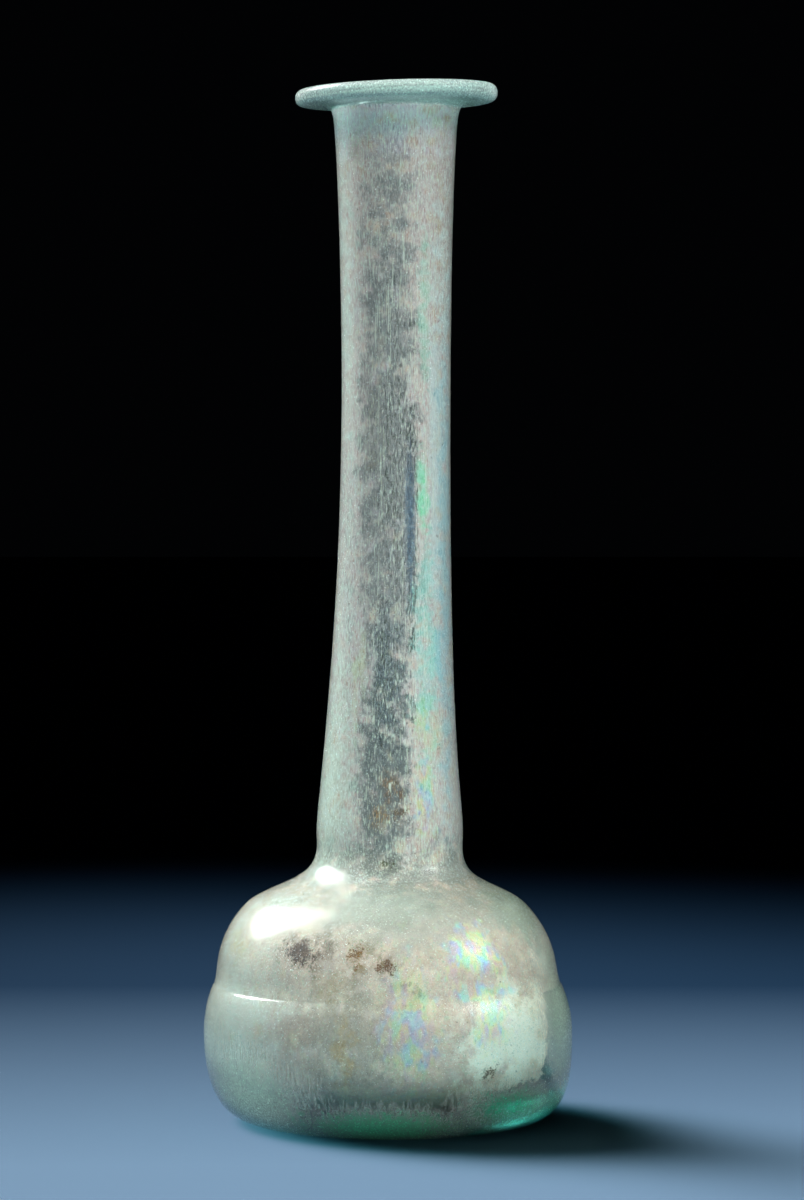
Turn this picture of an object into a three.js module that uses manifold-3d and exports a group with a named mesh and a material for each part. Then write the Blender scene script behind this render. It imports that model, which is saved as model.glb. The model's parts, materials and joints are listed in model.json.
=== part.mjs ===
// Free-blown glass perfume bottle: squat bulb, long neck and a folded, flattened rim,
// with the pearly crust and the burial soil that line its inside wall.
// Millimetres, +Z up, front towards -Y. The origin is the middle of the base, on its resting plane.
import * as THREE from 'three';
import { mergeVertices } from 'three/addons/utils/BufferGeometryUtils.js';
import Module from 'manifold-3d';

const wasm = await Module();
wasm.setup();

const flats = 44; // flats round the bottle, the same on every piece so that walls lie parallel
const fullTurn = 2 * Math.PI;

// Outside of the glass, foot to rim. Each rise is measured from the place below.
const foot = { ringRadius: 19.3, ringWidth: 3.4, kick: 1.3 };
const bulb = { radius: 27, rise: 12.6 };
const ridge = { inset: 1.1, rise: 6.3 };
const crease = { inset: 0.9, rise: 2 };
const shoulder = { radius: 19.3, rise: 11.5 };
const neckFoot = { radius: 10.6, rise: 6.9 };
const collar = { swell: 0.12, rise: 2.9 };
const waist = { radius: 7.9, rise: 62.6 };
const neckTop = { radius: 8.96, rise: 40.4 };
const flare = { radius: 9.8, rise: 2.3 };
const rim = { radius: 14.78, thickness: 2.5, lipRounding: 1, seamDepth: 0.1 };

// Wall thickness of the glass at the same places
const wall = { floor: 4.8, bulb: 3.1, ridge: 2.4, shoulder: 2, neckFoot: 1.9, waist: 1.45, mouth: 1.5 };
const heelFloorWidth = 5.6; // how far inside the resting ring's outer edge the floor starts to curve up

// The blown form wanders sideways, here towards +X, and its rim leans
const wander = { foot: 0.4, bulb: 0, shoulder: -0.38, neckFoot: 0.24, waist: 1.2, neckTop: 1.12, rim: 1.24 };
const rimTilt = THREE.MathUtils.degToRad(1.9);
const rimTiltRun = 6; // the lean begins this far below the rim

// Pearly weathering crust that lines the glass, and the soil held in its holes
const crust = { gap: 0.25, thickness: 0.35, crack: 0.4, crackRise: 2.4 };
const rowSpare = 0.2; // least height between a sleeve's edge and its next row
const crustEdge = { front: 6.1, right: 8.6, ragged: 0.45 }; // height of the crust's lower edge
const crustTop = { below: 1, ragged: 0.5 }; // how far under the neck's top its crust ends
const soil = { gap: 0.2, thickness: 0.55, clearance: 0.3 };

// Handles of each stretch of outline, as shares of its own width and height: out wide, out high,
// in wide, in high. The number is how many straight steps stand for the stretch.
const heelShares = { handles: [0.79, 0, 0, 0.6], steps: 7 };
const flareShares = { handles: [0.1, 0.45, 0.5, 0.2], steps: 2 };
const stretchShares = {
  bulbToRidge: { handles: [0, 0.45, 0.62, 0.32], steps: 3 },
  ridgeToCrease: { handles: [0.35, 0.35, 0.05, 0.3], steps: 2 },
  creaseToShoulder: { handles: [0, 0.57, 0.216, 0.063], steps: 6 },
  shoulderToNeck: { handles: [0.46, 0.33, 0, 0.6], steps: 5 },
  neckToCollar: { handles: [0, 0.5, 0, 0.5], steps: 2 },
  collarToWaist: { handles: [-0.055, 0.039, 0, 0.676], steps: 7 },
  waistToTop: { handles: [0, 0.5, 0.4, 0.13], steps: 5 },
};

const kickShares = [0, 0.4, 0.75, 1]; // places across the hollow under the base
const noseSteps = 8; // even, so that the seam falls on a point
const lipSteps = 3;

// Places that the outline passes through, and the wall behind each
const footPlace = new THREE.Vector2(foot.ringRadius, 0);
const bulbPlace = new THREE.Vector2(bulb.radius, bulb.rise);
const ridgePlace = above(bulbPlace, bulb.radius - ridge.inset, ridge.rise);
const creasePlace = above(ridgePlace, ridgePlace.x - crease.inset, crease.rise);
const shoulderPlace = above(creasePlace, shoulder.radius, shoulder.rise);
const neckFootPlace = above(shoulderPlace, neckFoot.radius, neckFoot.rise);
const collarPlace = above(neckFootPlace, neckFoot.radius + collar.swell, collar.rise);
const waistPlace = above(collarPlace, waist.radius, waist.rise);
const neckTopPlace = above(waistPlace, neckTop.radius, neckTop.rise);
const flarePlace = above(neckTopPlace, flare.radius, flare.rise);
const rimTop = flarePlace.y + rim.thickness;

const stretches = [
  stretch(bulbPlace, ridgePlace, stretchShares.bulbToRidge, wall.bulb, wall.ridge),
  stretch(ridgePlace, creasePlace, stretchShares.ridgeToCrease, wall.ridge, wall.ridge),
  stretch(creasePlace, shoulderPlace, stretchShares.creaseToShoulder, wall.ridge, wall.shoulder),
  stretch(shoulderPlace, neckFootPlace, stretchShares.shoulderToNeck, wall.shoulder, wall.neckFoot),
  stretch(neckFootPlace, collarPlace, stretchShares.neckToCollar, wall.neckFoot, wall.neckFoot),
  stretch(collarPlace, waistPlace, stretchShares.collarToWaist, wall.neckFoot, wall.waist),
  stretch(waistPlace, neckTopPlace, stretchShares.waistToTop, wall.waist, wall.mouth),
];

function above(place, radius, rise) {
  return new THREE.Vector2(radius, place.y + rise);
}

function bezier(from, to, handles) {
  const [outWide, outHigh, inWide, inHigh] = handles;
  const span = to.clone().sub(from);
  const leave = new THREE.Vector2(span.x * outWide, span.y * outHigh).add(from);
  const arrive = to.clone().sub(new THREE.Vector2(span.x * inWide, span.y * inHigh));
  return new THREE.CubicBezierCurve(from, leave, arrive, to);
}

function stretch(from, to, shares, wallFrom, wallTo) {
  return { curve: bezier(from, to, shares.handles), steps: shares.steps, wallFrom, wallTo };
}

// Unit direction from the outline into the glass, at a right angle to a curve that climbs
function inward(curve, share) {
  const tangent = curve.getTangent(share);
  return new THREE.Vector2(-tangent.y, tangent.x);
}

// Inside face of the glass from the floor's edge up to the neck's top, a line of points
function insideLine() {
  const bulbInside = new THREE.Vector2(bulb.radius - wall.bulb, bulb.rise);
  const floorEdge = new THREE.Vector2(foot.ringRadius - heelFloorWidth, wall.floor);
  const points = bezier(floorEdge, bulbInside, heelShares.handles).getPoints(heelShares.steps);
  for (const { curve, steps, wallFrom, wallTo } of stretches) {
    for (let step = 1; step <= steps; step += 1) {
      const share = step / steps;
      const thickness = THREE.MathUtils.lerp(wallFrom, wallTo, share);
      points.push(curve.getPoint(share).addScaledVector(inward(curve, share), thickness));
    }
  }
  return points;
}

// Outside face from the middle of the underside to the top of the neck
function outsideLine() {
  const ringInner = foot.ringRadius - foot.ringWidth;
  const points = [];
  for (const share of kickShares) {
    points.push(new THREE.Vector2(ringInner * share, foot.kick * (1 - share * share)));
  }
  points.push(...bezier(footPlace, bulbPlace, heelShares.handles).getPoints(heelShares.steps));
  for (const { curve, steps } of stretches) {
    points.push(...curve.getPoints(steps).slice(1));
  }
  const flareCurve = bezier(neckTopPlace, flarePlace, flareShares.handles);
  points.push(...flareCurve.getPoints(flareShares.steps).slice(1));
  return points;
}

// Folded rim: a flat underside, a round nose with the fold's seam in it, a flat top and a soft lip
function rimLine(mouthRadius) {
  const nose = rim.thickness / 2;
  const noseMiddle = new THREE.Vector2(rim.radius - nose, flarePlace.y + nose);
  const noseArc = new THREE.EllipseCurve(noseMiddle.x, noseMiddle.y, nose, nose, -Math.PI / 2, Math.PI / 2);
  const points = noseArc.getPoints(noseSteps);
  points[noseSteps / 2].x -= rim.seamDepth;
  const lipMiddle = new THREE.Vector2(mouthRadius + rim.lipRounding, rimTop - rim.lipRounding);
  const lipArc = new THREE.EllipseCurve(
    lipMiddle.x, lipMiddle.y, rim.lipRounding, rim.lipRounding, Math.PI / 2, Math.PI,
  );
  points.push(...lipArc.getPoints(lipSteps));
  return points;
}

// Sideways place of the bottle's middle at a height
const wanderStations = [
  [0, wander.foot],
  [bulbPlace.y, wander.bulb],
  [shoulderPlace.y, wander.shoulder],
  [neckFootPlace.y, wander.neckFoot],
  [waistPlace.y, wander.waist],
  [neckTopPlace.y, wander.neckTop],
  [rimTop, wander.rim],
];

function middleAt(height) {
  for (let i = 1; i < wanderStations.length; i += 1) {
    const [low, fromShift] = wanderStations[i - 1];
    const [high, toShift] = wanderStations[i];
    if (height <= high) {
      return THREE.MathUtils.lerp(fromShift, toShift, THREE.MathUtils.smoothstep(height, low, high));
    }
  }
  return wander.rim;
}

// Moves a point of the true round form to where the blown one has it
function blown(point) {
  const tiltStart = flarePlace.y - rimTiltRun;
  const tiltShare = THREE.MathUtils.clamp((point.z - tiltStart) / (rimTop - tiltStart), 0, 1);
  const lift = point.x * Math.tan(rimTilt * tiltShare);
  point.x += middleAt(point.z);
  point.z += lift;
  return point;
}

function blownGeometry(geometry) {
  const place = geometry.attributes.position;
  const point = new THREE.Vector3();
  for (let i = 0; i < place.count; i += 1) {
    blown(point.fromBufferAttribute(place, i));
    place.setXYZ(i, point.x, point.y, point.z);
  }
  return geometry;
}

function bare(geometry) {
  geometry.deleteAttribute('normal');
  geometry.deleteAttribute('uv');
  return mergeVertices(geometry);
}

// Solids for cutting, and back again
function toSolid(geometry) {
  const vertProperties = geometry.attributes.position.array;
  const triVerts = geometry.index.array;
  return new wasm.Manifold(new wasm.Mesh({ numProp: 3, vertProperties, triVerts }));
}

function toGeometry(solid) {
  const mesh = solid.getMesh();
  const geometry = new THREE.BufferGeometry();
  geometry.setAttribute('position', new THREE.BufferAttribute(mesh.vertProperties, 3));
  geometry.setIndex(new THREE.BufferAttribute(mesh.triVerts, 1));
  return geometry;
}

const lining = insideLine();

function vesselGeometry() {
  const mouthRadius = lining[lining.length - 1].x;
  const outline = [...outsideLine(), ...rimLine(mouthRadius), ...lining.slice().reverse()];
  outline.push(new THREE.Vector2(0, wall.floor));
  const geometry = bare(new THREE.LatheGeometry(outline, flats).rotateX(Math.PI / 2));
  return blownGeometry(geometry);
}

// Directions off the glass at each point of the inside face, midway between those of its neighbours
const offGlass = lining.map((place, i) => {
  const below = lining[Math.max(i - 1, 0)];
  const over = lining[Math.min(i + 1, lining.length - 1)];
  const along = over.clone().sub(below).normalize();
  return new THREE.Vector2(-along.y, along.x);
});

// A point at a height on the inside face, moved off the glass by a depth
function liningPoint(height, depth) {
  let i = 1;
  while (i < lining.length - 1 && lining[i].y < height) {
    i += 1;
  }
  const share = THREE.MathUtils.clamp((height - lining[i - 1].y) / (lining[i].y - lining[i - 1].y), 0, 1);
  const off = offGlass[i - 1].clone().lerp(offGlass[i], share);
  return lining[i - 1].clone().lerp(lining[i], share).addScaledVector(off, depth);
}

// A thin sleeve that follows the inside wall between two edges, whose heights can change round the
// bottle. Its rows lie at the wall's own, so the two stay parallel.
function sleeve(lowAt, highAt, layer) {
  const turns = Array.from({ length: flats }, (_, i) => (fullTurn * i) / flats);
  const lowest = Math.max(...turns.map(lowAt)) + rowSpare;
  const highest = Math.min(...turns.map(highAt)) - rowSpare;
  const rows = lining.map((place) => place.y).filter((height) => height > lowest && height < highest);
  const places = [];
  const corners = [];
  const loop = 2 * (rows.length + 2);
  turns.forEach((turn, i) => {
    const up = [lowAt(turn), ...rows, highAt(turn)];
    const near = up.map((height) => liningPoint(height, layer.gap));
    const far = up.map((height) => liningPoint(height, layer.gap + layer.thickness)).reverse();
    [...near, ...far].forEach(({ x: radius, y: height }, k) => {
      const point = blown(new THREE.Vector3(radius * Math.sin(turn), -radius * Math.cos(turn), height));
      places.push(point.x, point.y, point.z);
      const next = (k + 1) % loop;
      const here = i * loop;
      const beside = ((i + 1) % flats) * loop;
      corners.push(here + k, beside + k, here + next, beside + k, beside + next, here + next);
    });
  });
  const geometry = new THREE.BufferGeometry();
  geometry.setAttribute('position', new THREE.BufferAttribute(new Float32Array(places), 3));
  geometry.setIndex(new THREE.BufferAttribute(new Uint32Array(corners), 1));
  return geometry;
}

// Uneven edges are sums of whole waves, so that they close on themselves
const raggedWaves = [
  { waves: 5, share: 0.5, phase: 0.6 },
  { waves: 9, share: 0.3, phase: 2.1 },
  { waves: 14, share: 0.2, phase: 0 },
];
const patchWaves = [
  { waves: 3, share: 0.12, phase: 1.4 },
  { waves: 5, share: 0.08, phase: 0 },
];
const bareSideShares = [0.45, 0.95]; // how far towards the right the crust's edge starts and ends its climb

function waveSum(waves, turn) {
  return waves.reduce((sum, wave) => sum + wave.share * Math.sin(wave.waves * turn + wave.phase), 0);
}

function crustEdgeAt(turn) {
  const climb = THREE.MathUtils.smoothstep(Math.sin(turn), ...bareSideShares);
  const height = THREE.MathUtils.lerp(crustEdge.front, crustEdge.right, climb);
  return height + crustEdge.ragged * waveSum(raggedWaves, turn);
}

function crustTopAt(turn) {
  return neckTopPlace.y - crustTop.below + crustTop.ragged * waveSum(raggedWaves, turn);
}

// Patches of the lining, each seen from the front at a sideways place and a height, with its width and
// height. Heights are measured up from a named place on the bottle, sideways places from its middle.
const bulbSoilPatches = [
  { name: 'soil_deposit_shoulder_left', from: creasePlace.y, side: -11.6, up: 5.4, width: 5.4, tall: 3.8 },
  { name: 'soil_deposit_shoulder_front', from: creasePlace.y, side: -4.2, up: 5.3, width: 2.3, tall: 4 },
  { name: 'soil_deposit_shoulder_middle', from: creasePlace.y, side: 0.2, up: 4, width: 3.4, tall: 2.2 },
  { name: 'soil_deposit_bulb_right', from: footPlace.y, side: 13.6, up: 9.8, width: 2.4, tall: 2.6 },
];
const neckSoilPatches = [
  { name: 'soil_deposit_neck_foot', from: neckFootPlace.y, side: -0.4, up: -1.4, width: 3.4, tall: 1.4 },
  { name: 'soil_deposit_neck_low', from: collarPlace.y, side: 1.2, up: 3.4, width: 3.2, tall: 2.2 },
  { name: 'soil_deposit_neck_middle', from: collarPlace.y, side: 0.4, up: 7.6, width: 2, tall: 1.4 },
];
const cleanStrip = { from: waistPlace.y, side: 3.2, up: -29, width: 1.5, tall: 40 };

// Flakes fallen from the crust's lower edge to the floor's rising edge, seen from above: the turn round
// the bottle from the front, how far inside the crust's edge, and the size round and across
const flakes = [
  { name: 'crust_flake_left', turn: -46, inside: 0.9, width: 3.4, tall: 1.6 },
  { name: 'crust_flake_front_left', turn: -14, inside: 1.1, width: 2.8, tall: 1.8 },
  { name: 'crust_flake_front', turn: 9, inside: 0.9, width: 3.6, tall: 1.6 },
  { name: 'crust_flake_front_right', turn: 31, inside: 1, width: 3, tall: 2 },
  { name: 'crust_flake_right', turn: 52, inside: 1.3, width: 2.6, tall: 1.8 },
];

const patchCorners = 12;

// A patch's uneven outline as a prism that points up
function patchPrism(patch, grow, depth) {
  const outline = [];
  for (let i = 0; i < patchCorners; i += 1) {
    const turn = (fullTurn * i) / patchCorners;
    const uneven = 1 + waveSum(patchWaves, turn + patch.width / patch.tall);
    const wide = (patch.width / 2) * uneven + grow;
    const high = (patch.tall / 2) * uneven + grow;
    outline.push(new THREE.Vector2(wide * Math.cos(turn), high * Math.sin(turn)));
  }
  return bare(new THREE.ExtrudeGeometry(new THREE.Shape(outline), { depth, bevelEnabled: false }));
}

// Cuts from the front as far as the bottle's middle
function frontCutter(patch, grow) {
  const height = patch.from + patch.up;
  const prism = patchPrism(patch, grow, bulb.radius).rotateX(Math.PI / 2);
  return toSolid(prism.translate(patch.side + middleAt(height), 0, height));
}

// Cuts straight up from the resting plane, at a place just inside the crust's lower edge
function floorCutter(flake) {
  const turn = THREE.MathUtils.degToRad(flake.turn);
  const edge = liningPoint(crustEdgeAt(turn), crust.gap + crust.thickness).x;
  const middle = edge - flake.inside - flake.tall / 2;
  const prism = patchPrism(flake, 0, bulbPlace.y).translate(0, -middle, 0);
  return toSolid(prism.rotateZ(turn).translate(middleAt(wall.floor), 0, 0));
}

function cutOut(solid, patches, grow) {
  return patches.reduce((rest, patch) => rest.subtract(frontCutter(patch, grow)), solid);
}

const crackHeight = shoulderPlace.y + crust.crackRise;

function bulbCrustSolid() {
  const whole = sleeve(crustEdgeAt, () => crackHeight - crust.crack / 2, crust);
  return cutOut(toSolid(whole), bulbSoilPatches, soil.clearance);
}

function neckCrustSolid() {
  const whole = sleeve(() => crackHeight + crust.crack / 2, crustTopAt, crust);
  return cutOut(toSolid(whole), [...neckSoilPatches, cleanStrip], soil.clearance);
}

const materials = {
  glass: new THREE.MeshStandardMaterial({
    color: '#8fc4b6', roughness: 0.08, metalness: 0, transparent: true, opacity: 0.45,
  }),
  crust: new THREE.MeshStandardMaterial({ color: '#b4bfb0', roughness: 0.35, metalness: 0 }),
  soil: new THREE.MeshStandardMaterial({ color: '#5b4630', roughness: 0.9, metalness: 0 }),
};

function named(name, geometry, material) {
  const mesh = new THREE.Mesh(geometry, material.clone());
  mesh.name = name;
  return mesh;
}

const bottle = new THREE.Group();
bottle.add(named('glass_vessel', vesselGeometry(), materials.glass));
bottle.add(named('bulb_crust', toGeometry(bulbCrustSolid()), materials.crust));
bottle.add(named('neck_crust', toGeometry(neckCrustSolid()), materials.crust));

const flakeBand = toSolid(sleeve(() => wall.floor, () => bulbPlace.y, crust));
for (const flake of flakes) {
  bottle.add(named(flake.name, toGeometry(flakeBand.intersect(floorCutter(flake))), materials.crust));
}

const bulbSoil = toSolid(sleeve(crustEdgeAt, () => crackHeight, soil));
for (const patch of bulbSoilPatches) {
  bottle.add(named(patch.name, toGeometry(bulbSoil.intersect(frontCutter(patch, 0))), materials.soil));
}

const neckSoil = toSolid(sleeve(() => crackHeight, crustTopAt, soil));
for (const patch of neckSoilPatches) {
  bottle.add(named(patch.name, toGeometry(neckSoil.intersect(frontCutter(patch, 0))), materials.soil));
}

export default bottle;
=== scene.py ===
# Free-blown glass perfume bottle: clear blue-green glass, its pearly weathered lining, and burial soil
import json
import math

import bpy
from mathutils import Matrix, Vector, noise

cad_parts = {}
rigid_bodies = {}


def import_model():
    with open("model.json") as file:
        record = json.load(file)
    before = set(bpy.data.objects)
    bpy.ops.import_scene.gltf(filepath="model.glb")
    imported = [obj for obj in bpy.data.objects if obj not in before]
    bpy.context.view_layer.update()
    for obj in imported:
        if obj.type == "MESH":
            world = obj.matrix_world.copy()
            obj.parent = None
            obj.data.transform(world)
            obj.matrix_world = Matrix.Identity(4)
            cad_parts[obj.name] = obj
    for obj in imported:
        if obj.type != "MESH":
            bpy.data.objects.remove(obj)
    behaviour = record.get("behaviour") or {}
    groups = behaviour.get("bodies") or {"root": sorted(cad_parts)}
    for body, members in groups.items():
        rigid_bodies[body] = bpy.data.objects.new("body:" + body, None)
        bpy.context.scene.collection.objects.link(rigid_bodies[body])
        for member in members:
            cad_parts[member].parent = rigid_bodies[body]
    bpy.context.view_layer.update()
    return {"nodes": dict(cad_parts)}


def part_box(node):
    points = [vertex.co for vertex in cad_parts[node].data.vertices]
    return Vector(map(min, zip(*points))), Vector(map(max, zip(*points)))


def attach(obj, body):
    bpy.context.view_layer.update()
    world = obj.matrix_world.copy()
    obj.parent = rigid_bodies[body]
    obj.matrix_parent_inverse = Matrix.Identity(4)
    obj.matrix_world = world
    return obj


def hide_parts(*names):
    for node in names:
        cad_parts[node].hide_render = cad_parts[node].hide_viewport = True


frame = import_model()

mm = 0.001


def linear(hexColour):  # an sRGB hex colour as Blender's linear RGBA
    parts = [int(hexColour[i:i + 2], 16) / 255 for i in (1, 3, 5)]
    return [p / 12.92 if p <= 0.04045 else ((p + 0.055) / 1.055) ** 2.4 for p in parts] + [1]


def addNode(tree, kind, inputs=(), out=None, **settings):
    # inputs go by name or number, or in their order; a value is set and another node's output is linked
    node = tree.nodes.new("ShaderNode" + kind)
    for name, value in settings.items():
        setattr(node, name, value)
    for socket, value in inputs.items() if isinstance(inputs, dict) else enumerate(inputs):
        if isinstance(value, bpy.types.NodeSocket):
            tree.links.new(value, node.inputs[socket])
        else:
            node.inputs[socket].default_value = value
    return node if out is None else node.outputs[out]


def newMaterial(name):
    material = bpy.data.materials.new(name)
    material.use_nodes = True
    material.node_tree.nodes.clear()
    return material, material.node_tree


def setRamp(node, stops):  # stops are pairs of place and hex colour
    ramp = node.color_ramp
    while len(ramp.elements) < len(stops):
        ramp.elements.new(0.5)
    for element, (place, colour) in zip(ramp.elements, stops):
        element.position = place
        element.color = linear(colour)
    return node.outputs["Color"]


def spotShare(tree, place, uneven, middle, reach, most, full=0.5):
    # most as far as the full share of a spot's reach, and nothing from the reach on
    centred = addNode(tree, "Mapping", {
        "Vector": place,
        "Location": [-m / r for m, r in zip(middle, reach)],
        "Scale": [1 / (r * mm) for r in reach],
    }, out=0)
    away = addNode(tree, "VectorMath", {0: centred}, out="Value", operation="LENGTH")
    away = addNode(tree, "Math", (away, uneven), out=0, operation="ADD")
    return addNode(tree, "MapRange", (away, full, 1, most, 0), out=0)


# Camera

# place and focal length in mm, tilt in degrees, fitted to the bottle's outline
photoCamera = {"side": 2.03, "back": 610, "height": 98.69, "tiltDown": 2.155, "lens": 126, "sensor": 36}


def addCamera(settings):
    place = Vector((settings["side"], -settings["back"], settings["height"])) * mm
    bpy.ops.object.camera_add(location=place, rotation=(math.radians(90 - settings["tiltDown"]), 0, 0))
    camera = bpy.context.object
    camera.data.lens = settings["lens"]
    camera.data.sensor_width = settings["sensor"]
    bpy.context.scene.camera = camera


addCamera(photoCamera)
print("camera placed")


# Blown glass vessel

blownGlass = {
    "tint": "#f8fcfb",
    "haze": "#cfe9df",
    "absorb": "#1ccbc5",
    "absorbPerMetre": 92,
    "shade": "#f6fbfa",
    "ior": 1.52,
    "specular": 0.06,
    # three ranges: from and to in the pits' noise, and the values there
    "roughness": (0.48, 0.66, 0.05, 0.3),
    "coat": (0.38, 0.6, 0.25, 1),
    "skin": (0.36, 0.64, 0.3, 1),
    "coatRoughness": 0.32,
    "pitSize": 0.26,
    "pitDepth": 0.02,
    "sparkle": 0.2,
    "scratchWidth": 0.3,
    "scratchLength": 9,
    "baseTop": (8, 13), "film": (0.005, 0.06),  # the thick base is clear, the rim the most weathered
    "rimFoot": (146.7, 147.5), "rimFilm": 0.6,
    "smoothCoat": 0.3,  # the coat's share on rim and base, which are smoother
    "stray": 0.4, "hazeFull": 0.2, "pittedFull": 0.3,  # shares of a spot's reach
    "hazeTint": 0.3,  # share of the haze from which its own colour shows in full
    "hazesAndShade": [  # cloudier places on the skin, and painted shade over the neck's bare strip: middle and reach in mm, share and colour
        ((-20, -16, 4), (16, 15, 11), 0.62, "#b9d8c4"),
        ((-1, -25, 2), (17, 8, 4.6), 0.6, "#4fb48c"),
        ((17, -19, 5), (12, 13, 4.5), 0.42, "#0c9c78"),
        ((25.5, -8, 18), (5, 15, 17), 0.62, "#a3b8a6"),
        ((24, -8, 25), (5, 15, 8), 0.4, "#a3b8a6"),
        ((-13.5, -3, 149), (6, 9, 4), 0.95, "#dcf6ea"),
        ((14.5, -3, 149), (7, 9, 4), 1, "#d8f6e9"),
        ((-26.5, -5, 12), (4, 15, 14), 0.25, "#b9d8c4"),
        # painted shade: dark slate on the glass over the neck's bare strip, for the unlit inside seen through
        # it
        ((3.2, -9, 88), (1.2, 4, 17), 0.6, "#6c8799"),
    ],
    "pitted": [  # middle and reach in mm, and how much deeper the pits are
        ((-9.5, -18.5, 31.5), (8, 9, 3.6), 4),
        ((-7.5, -9.5, 36), (4, 5, 3), 3),
    ],
    "hazeDepth": 6,
}


def blownGlassMaterial(settings):  # free-blown soda-lime glass: blue-green where thick, dulled by weathering
    material, tree = newMaterial("blown soda-lime glass")
    place = addNode(tree, "TexCoord", out="Object")
    height = addNode(tree, "SeparateXYZ", {0: place}, out="Z")
    pits = addNode(tree, "TexNoise", {
        "Vector": place, "Scale": 1 / (settings["pitSize"] * mm), "Detail": 3, "Roughness": 0.7,
    }, out=0)
    drawn = addNode(tree, "Mapping", {
        "Vector": place, "Scale": (1, 1, settings["scratchWidth"] / settings["scratchLength"]),
    }, out=0)
    scratches = addNode(tree, "TexNoise", {
        "Vector": drawn, "Scale": 1 / (settings["scratchWidth"] * mm), "Detail": 2,
    }, out=0)
    stray = settings["stray"]
    uneven = addNode(tree, "MapRange", (scratches, 0, 1, -stray, stray), out=0)

    relief = addNode(tree, "Math", (pits, scratches), out=0, operation="ADD")
    for middle, reach, most in settings["pitted"]:
        deeper = spotShare(tree, place, uneven, middle, reach, most, settings["pittedFull"])
        relief = addNode(tree, "Math", (pits, deeper, relief), out=0, operation="MULTIPLY_ADD")
    bump = addNode(tree, "Bump", {
        "Height": relief, "Distance": settings["pitDepth"] * mm, "Strength": 0.6,
    }, out=0)
    glitter = addNode(tree, "Bump", {"Height": pits, "Distance": settings["sparkle"] * mm}, out=0)

    base = [z * mm for z in settings["baseTop"]]
    rim = [z * mm for z in settings["rimFoot"]]
    dull = addNode(tree, "MapRange", (height, *base, *settings["film"]), out=0)
    rimFilm = addNode(tree, "MapRange", (height, *rim, 0, settings["rimFilm"]), out=0)
    dull = addNode(tree, "Math", (dull, rimFilm), out=0, operation="MAXIMUM")
    haze = linear(settings["haze"])
    # each spot's colour is mixed in: cloudier skin, and painted shade over the bare strip
    for middle, reach, most, spotTone in settings["hazesAndShade"]:
        share = spotShare(tree, place, uneven, middle, reach, most, settings["hazeFull"])
        dull = addNode(tree, "Math", (dull, share), out=0, operation="MAXIMUM")
        share = addNode(tree, "MapRange", (share, 0, settings["hazeTint"] * most), out=0)
        haze = addNode(tree, "Mix", {0: share, 6: haze, 7: linear(spotTone)}, out=2, data_type="RGBA")
    skin = addNode(tree, "MapRange", (pits, *settings["skin"]), out=0)
    dull = addNode(tree, "Math", (dull, skin), out=0, operation="MULTIPLY")
    clear = addNode(tree, "Math", (1, dull), out=0, operation="SUBTRACT")
    share = addNode(tree, "MapRange", (dull, 0, settings["hazeTint"]), out=0)
    tint = linear(settings["tint"])
    colour = addNode(tree, "Mix", {0: share, 6: tint, 7: haze}, out=2, data_type="RGBA")

    coat = addNode(tree, "MapRange", (pits, *settings["coat"]), out=0)
    for smoother in ((*rim, 1, settings["smoothCoat"]), (*base, settings["smoothCoat"], 1)):
        share = addNode(tree, "MapRange", (height, *smoother), out=0)
        coat = addNode(tree, "Math", (coat, share), out=0, operation="MULTIPLY")
    glass = addNode(tree, "BsdfPrincipled", {
        "Base Color": colour,
        "Roughness": addNode(tree, "MapRange", (pits, *settings["roughness"]), out=0),
        "IOR": settings["ior"],
        "Specular IOR Level": settings["specular"],
        "Transmission Weight": clear,
        "Coat Weight": coat,
        "Coat Roughness": settings["coatRoughness"],
        "Coat Normal": glitter,
        "Normal": bump,
        "Subsurface Weight": 0.8,
        "Subsurface Radius": (1, 1, 1),
        "Subsurface Scale": settings["hazeDepth"] * mm,
    }, out=0)

    path = addNode(tree, "LightPath")
    straight = addNode(tree, "Math", (
        path.outputs["Is Shadow Ray"], path.outputs["Is Diffuse Ray"],
    ), out=0, operation="MAXIMUM")  # lets lamps reach the lining behind the glass
    shade = addNode(tree, "BsdfTransparent", {0: linear(settings["shade"])}, out=0)
    surface = addNode(tree, "MixShader", (straight, glass, shade), out=0)
    body = addNode(tree, "VolumeAbsorption", {
        "Color": linear(settings["absorb"]), "Density": settings["absorbPerMetre"],
    }, out=0)
    addNode(tree, "OutputMaterial", {"Surface": surface, "Volume": body})
    return material


def only(piece):  # the piece alone is selected and active
    bpy.ops.object.select_all(action="DESELECT")
    piece.select_set(True)
    bpy.context.view_layer.objects.active = piece


def meshCopy(source, name):
    piece = bpy.data.objects.new(name, source.data.copy())
    piece.data.name = name
    piece.data.materials.clear()
    bpy.context.scene.collection.objects.link(piece)
    return piece


def applyModifier(piece, kind, **settings):
    only(piece)
    modifier = piece.modifiers.new(kind.lower(), kind)
    for name, value in settings.items():
        setattr(modifier, name, value)
    bpy.ops.object.modifier_apply(modifier=modifier.name)


def pushOut(piece, depthAt):  # moves each vertex along its normal by what depthAt says in mm
    vertices = piece.data.vertices
    normals = [vertex.normal.copy() for vertex in vertices]
    for vertex, normal in zip(vertices, normals):
        vertex.co += normal * (depthAt(vertex.co / mm, normal) * mm)


def rough(at, size, seed):  # uneven noise from about -1 to 1, with features of a size in mm
    falloff = 0.8
    step = 2
    octaves = 3
    return noise.fractal(at / size + Vector((seed, seed, seed)), falloff, step, octaves)


def smooth(value, low, high):
    share = min(max((value - low) / (high - low), 0), 1)
    return share * share * (3 - 2 * share)


def turnOf(at):  # degrees round the bottle from its front, positive to the right
    return math.degrees(math.atan2(at.x, -at.y))


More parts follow.
